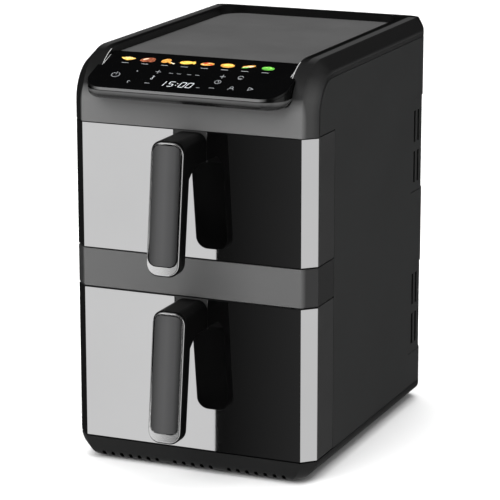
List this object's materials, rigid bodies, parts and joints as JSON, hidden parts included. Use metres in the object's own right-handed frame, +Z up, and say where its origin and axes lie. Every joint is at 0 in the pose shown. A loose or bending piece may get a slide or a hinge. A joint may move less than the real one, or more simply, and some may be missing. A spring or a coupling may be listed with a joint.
{
  "type": "air fryer",
  "caption": "Upright stacked air fryer with pull-out drawers, mirror-steel fronts, slanted touch console and a tray top.",
  "frame": {"origin": "on the ground, at the middle of the whole object's footprint, handles included", "axes": "+Z up; the drawers open towards -Y; +X is to the right of someone facing the front"},
  "size_m": [0.26, 0.4085, 0.421],
  "materials": {
    "casing_plastic": "finely textured black",
    "fascia_plastic": "satin graphite",
    "rim_plastic": "satin black",
    "tray_plastic": "matt dark grey",
    "gloss_black": "polished black",
    "console_glass": "black printed touch panel",
    "foot_rubber": "soft matt",
    "polished_steel": "mirror-polished stainless sheet",
    "chrome_trim": "bright plated",
    "grip_plastic": "satin soft-touch",
    "handle_plastic": "semi-gloss black",
    "inner_plastic": "moulded black, heat-proof",
    "liner_steel": "galvanised sheet",
    "chassis_steel": "zinc-plated sheet",
    "nonstick_coating": "non-stick coated steel",
    "heater_steel": "heat-tinted tube",
    "fan_aluminium": "pressed sheet",
    "shaft_steel": "ground",
    "motor_steel": "varnished laminations and cup",
    "silicone": "silicone",
    "circuit_board": "solder-resist green",
    "display_plastic": "white light guide",
    "spring_steel": "wound wire",
    "switch_plastic": "potted",
    "magnet_ferrite": "pressed ferrite",
    "screw_steel": "zinc-plated"
  },
  "bodies": {
    "root": {"base_tray": "casing_plastic", "rubber_feet": "foot_rubber", "left_side_cover": "casing_plastic", "right_side_cover": "casing_plastic", "vent_grilles": "casing_plastic", "rear_cover": "casing_plastic", "middle_band": "fascia_plastic", "top_frame": "rim_plastic", "top_tray": "tray_plastic", "console_bezel": "gloss_black", "control_glass": "console_glass", "control_board": "circuit_board", "display_module": "display_plastic", "touch_springs": "spring_steel", "chassis": "chassis_steel", "power_board": "circuit_board", "cord_inlet": "switch_plastic", "rear_screws": "screw_steel", "thermal_cutouts": "fan_aluminium", "reed_switches": "switch_plastic", "lower_liner": "liner_steel", "lower_rails": "liner_steel", "lower_fan_guard": "liner_steel", "lower_heater": "heater_steel", "lower_motor": "motor_steel", "lower_motor_bracket": "chassis_steel", "upper_liner": "liner_steel", "upper_rails": "liner_steel", "upper_fan_guard": "liner_steel", "upper_heater": "heater_steel", "upper_motor": "motor_steel", "upper_motor_bracket": "chassis_steel"},
    "lower_drawer": {"lower_drawer_front": "inner_plastic", "lower_drawer_back_plate": "inner_plastic", "lower_front_skin": "polished_steel", "lower_basket": "nonstick_coating", "lower_drawer_screws": "screw_steel", "lower_magnet": "magnet_ferrite", "lower_handle_arm": "handle_plastic", "lower_handle_trim": "chrome_trim", "lower_handle_grip": "grip_plastic"},
    "lower_plate": {"lower_crisper_plate": "nonstick_coating", "lower_plate_bumpers": "silicone"},
    "lower_rotor": {"lower_hot_fan": "fan_aluminium", "lower_cooling_fan": "fan_aluminium", "lower_shaft": "shaft_steel"},
    "upper_drawer": {"upper_drawer_front": "inner_plastic", "upper_drawer_back_plate": "inner_plastic", "upper_front_skin": "polished_steel", "upper_basket": "nonstick_coating", "upper_drawer_screws": "screw_steel", "upper_magnet": "magnet_ferrite", "upper_handle_arm": "handle_plastic", "upper_handle_trim": "chrome_trim", "upper_handle_grip": "grip_plastic"},
    "upper_plate": {"upper_crisper_plate": "nonstick_coating", "upper_plate_bumpers": "silicone"},
    "upper_rotor": {"upper_hot_fan": "fan_aluminium", "upper_cooling_fan": "fan_aluminium", "upper_shaft": "shaft_steel"}
  },
  "joints": [
    {"name": "lower_drawer_slide", "type": "slide", "parent": "root", "child": "lower_drawer", "axis": [0, -1, 0], "range_m": [0, 0.2]},
    {"name": "lower_plate_lift", "type": "slide", "parent": "lower_drawer", "child": "lower_plate", "axis": [0, 0, 1], "range_m": [0, 0.06]},
    {"name": "lower_rotor_spin", "type": "hinge", "parent": "root", "child": "lower_rotor", "pos_m": [0, 0.143, 0.103], "axis": [0, 1, 0], "continuous": true},
    {"name": "upper_drawer_slide", "type": "slide", "parent": "root", "child": "upper_drawer", "axis": [0, -1, 0], "range_m": [0, 0.2]},
    {"name": "upper_plate_lift", "type": "slide", "parent": "upper_drawer", "child": "upper_plate", "axis": [0, 0, 1], "range_m": [0, 0.06]},
    {"name": "upper_rotor_spin", "type": "hinge", "parent": "root", "child": "upper_rotor", "pos_m": [0, 0.143, 0.2865], "axis": [0, 1, 0], "continuous": true}
  ]
}
